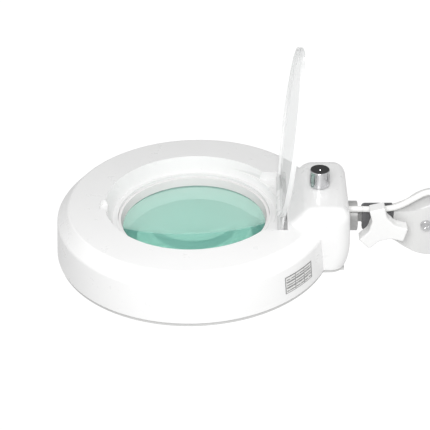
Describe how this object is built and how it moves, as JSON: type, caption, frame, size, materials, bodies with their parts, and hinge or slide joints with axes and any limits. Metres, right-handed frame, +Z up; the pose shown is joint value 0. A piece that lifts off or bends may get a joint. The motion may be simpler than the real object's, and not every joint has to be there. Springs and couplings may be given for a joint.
{
  "type": "magnifying lamp",
  "caption": "Bench magnifying lamp with a round lit lens head, flip-up clear cover, tilting joint, balanced parallel-bar arm and table clamp.",
  "frame": {"origin": "table top, on the axis of the vertical socket in the table clamp", "axes": "+Z up; the arm plane is XZ; the lamp head lies towards -X; +Y is the far side of the lamp"},
  "size_m": [0.7136, 0.234, 0.6687],
  "materials": {
    "white_housing": "smooth gloss",
    "white_plastic": "satin gloss",
    "light_grey_ring": "satin",
    "lens_glass": "polished",
    "clear_cover": "clear moulded",
    "reflector_white": "gloss",
    "tube_white": "frosted",
    "steel": "zinc plated",
    "dark_steel": "satin",
    "chrome": "polished",
    "black_plastic": "matte",
    "cable_white": "satin",
    "label_paper": "satin",
    "arm_paint": "gloss",
    "clamp_paint": "gloss",
    "rubber_grey": "matte"
  },
  "bodies": {
    "clamp": {"clamp_body": "clamp_paint", "lock_screw": "black_plastic"},
    "clamp_screw": {"clamp_screw": "steel", "tommy_bar": "steel"},
    "pad": {"clamp_pad": "steel", "pad_facing": "rubber_grey"},
    "base": {"spigot": "steel", "base_knuckle_back": "white_plastic", "base_knuckle_front": "white_plastic", "base_bolts": "chrome", "base_nuts": "steel", "mains_cord": "cable_white", "mains_plug": "white_plastic"},
    "lower_bar_a": {"lower_bar_left": "arm_paint", "lower_springs": "chrome"},
    "lower_bar_b": {"lower_bar_right": "arm_paint"},
    "elbow": {"elbow_back": "white_plastic", "elbow_front": "white_plastic", "elbow_bolts": "chrome", "elbow_nuts": "steel"},
    "upper_bar_a": {"upper_bar_top": "arm_paint"},
    "upper_bar_b": {"upper_bar_bottom": "arm_paint", "upper_springs": "chrome"},
    "head_knuckle": {"head_knuckle_back": "white_plastic", "head_knuckle_front": "white_plastic", "head_knuckle_bolts": "chrome", "head_knuckle_nuts": "steel", "tilt_fork": "dark_steel", "tilt_bolt": "steel", "arm_lead": "cable_white", "friction_washers": "black_plastic"},
    "tilt_knob": {"tilt_knob": "white_plastic"},
    "tongue": {"head_tongue": "steel", "tongue_nut": "steel"},
    "head": {"upper_housing": "white_housing", "lower_cover": "white_housing", "housing_screws": "steel", "lens": "lens_glass", "lens_ring": "light_grey_ring", "reflector": "reflector_white", "circular_tube": "tube_white", "tube_cap": "white_plastic", "tube_clips": "steel", "ballast": "black_plastic", "terminal_block": "white_plastic", "rotary_switch": "black_plastic", "switch_nut": "steel", "rating_label": "label_paper", "hinge_pin": "steel", "cable_grommet": "cable_white", "head_lead": "cable_white"},
    "cover": {"lens_cover": "clear_cover"},
    "switch_knob": {"switch_knob": "chrome"}
  },
  "joints": [
    {"name": "clamp_screw_feed", "type": "slide", "parent": "clamp", "child": "pad", "axis": [0, 0, 1], "range_m": [-0.02, 0.022]},
    {"name": "clamp_screw_turn", "type": "hinge", "parent": "pad", "child": "clamp_screw", "pos_m": [-0.02, 0, -0.07], "axis": [0, 0, 1], "range_deg": [-5400, 5400]},
    {"name": "base_swivel", "type": "hinge", "parent": "clamp", "child": "base", "pos_m": [0, 0, 0.05], "axis": [0, 0, 1], "range_deg": [-120, 120]},
    {"name": "lower_arm_tilt", "type": "hinge", "parent": "base", "child": "lower_bar_a", "pos_m": [-0.0145, 0, 0.098], "axis": [0, 1, 0], "range_deg": [-45, 25], "stiffness_Nm_per_rad": 6, "springref_deg": 91.3},
    {"name": "lower_bar_b_follow", "type": "hinge", "parent": "base", "child": "lower_bar_b", "pos_m": [0.0145, 0, 0.098], "axis": [0, 1, 0], "range_deg": [-45, 25]},
    {"name": "elbow_level", "type": "hinge", "parent": "lower_bar_a", "child": "elbow", "pos_m": [0.05149, 0, 0.47223], "axis": [0, 1, 0], "range_deg": [-25, 45], "stiffness_Nm_per_rad": 6, "springref_deg": 106.42},
    {"name": "upper_arm_tilt", "type": "hinge", "parent": "elbow", "child": "upper_bar_a", "pos_m": [0.03599, 0, 0.51673], "axis": [0, 1, 0], "range_deg": [-30, 50], "stiffness_Nm_per_rad": 6, "springref_deg": 100.81},
    {"name": "upper_bar_b_follow", "type": "hinge", "parent": "elbow", "child": "upper_bar_b", "pos_m": [0.03599, 0, 0.48773], "axis": [0, 1, 0], "range_deg": [-30, 50], "stiffness_Nm_per_rad": 0.3, "springref_deg": 45.05},
    {"name": "head_knuckle_level", "type": "hinge", "parent": "upper_bar_a", "child": "head_knuckle", "pos_m": [-0.2931, 0, 0.32673], "axis": [0, 1, 0], "range_deg": [-50, 30], "stiffness_Nm_per_rad": 3, "springref_deg": 72.98},
    {"name": "head_tilt", "type": "hinge", "parent": "head_knuckle", "child": "tongue", "pos_m": [-0.3486, 0, 0.31623], "axis": [0, 1, 0], "range_deg": [-60, 60], "stiffness_Nm_per_rad": 2, "springref_deg": 78.73},
    {"name": "head_roll", "type": "hinge", "parent": "tongue", "child": "head", "pos_m": [-0.3721, 0, 0.31623], "axis": [1, 0, 0], "range_deg": [-45, 45]},
    {"name": "lens_cover_hinge", "type": "hinge", "parent": "head", "child": "cover", "pos_m": [-0.4321, 0, 0.32723], "axis": [0, 1, 0], "range_deg": [-97, 8]},
    {"name": "lamp_switch", "type": "hinge", "parent": "head", "child": "switch_knob", "pos_m": [-0.4001, -0.001, 0.35373], "axis": [0, 0, 1], "continuous": true},
    {"name": "tilt_knob_turn", "type": "hinge", "parent": "head_knuckle", "child": "tilt_knob", "pos_m": [-0.3486, -0.018, 0.31623], "axis": [0, 1, 0], "range_deg": [-720, 0]}
  ],
  "couplings": [
    {"joint": "clamp_screw_turn", "follows": "clamp_screw_feed", "rad_per_m": 4188.8},
    {"joint": "lower_bar_b_follow", "follows": "lower_arm_tilt", "ratio": 1},
    {"joint": "elbow_level", "follows": "lower_arm_tilt", "ratio": -1},
    {"joint": "upper_bar_b_follow", "follows": "upper_arm_tilt", "ratio": 1},
    {"joint": "head_knuckle_level", "follows": "upper_arm_tilt", "ratio": -1}
  ]
}
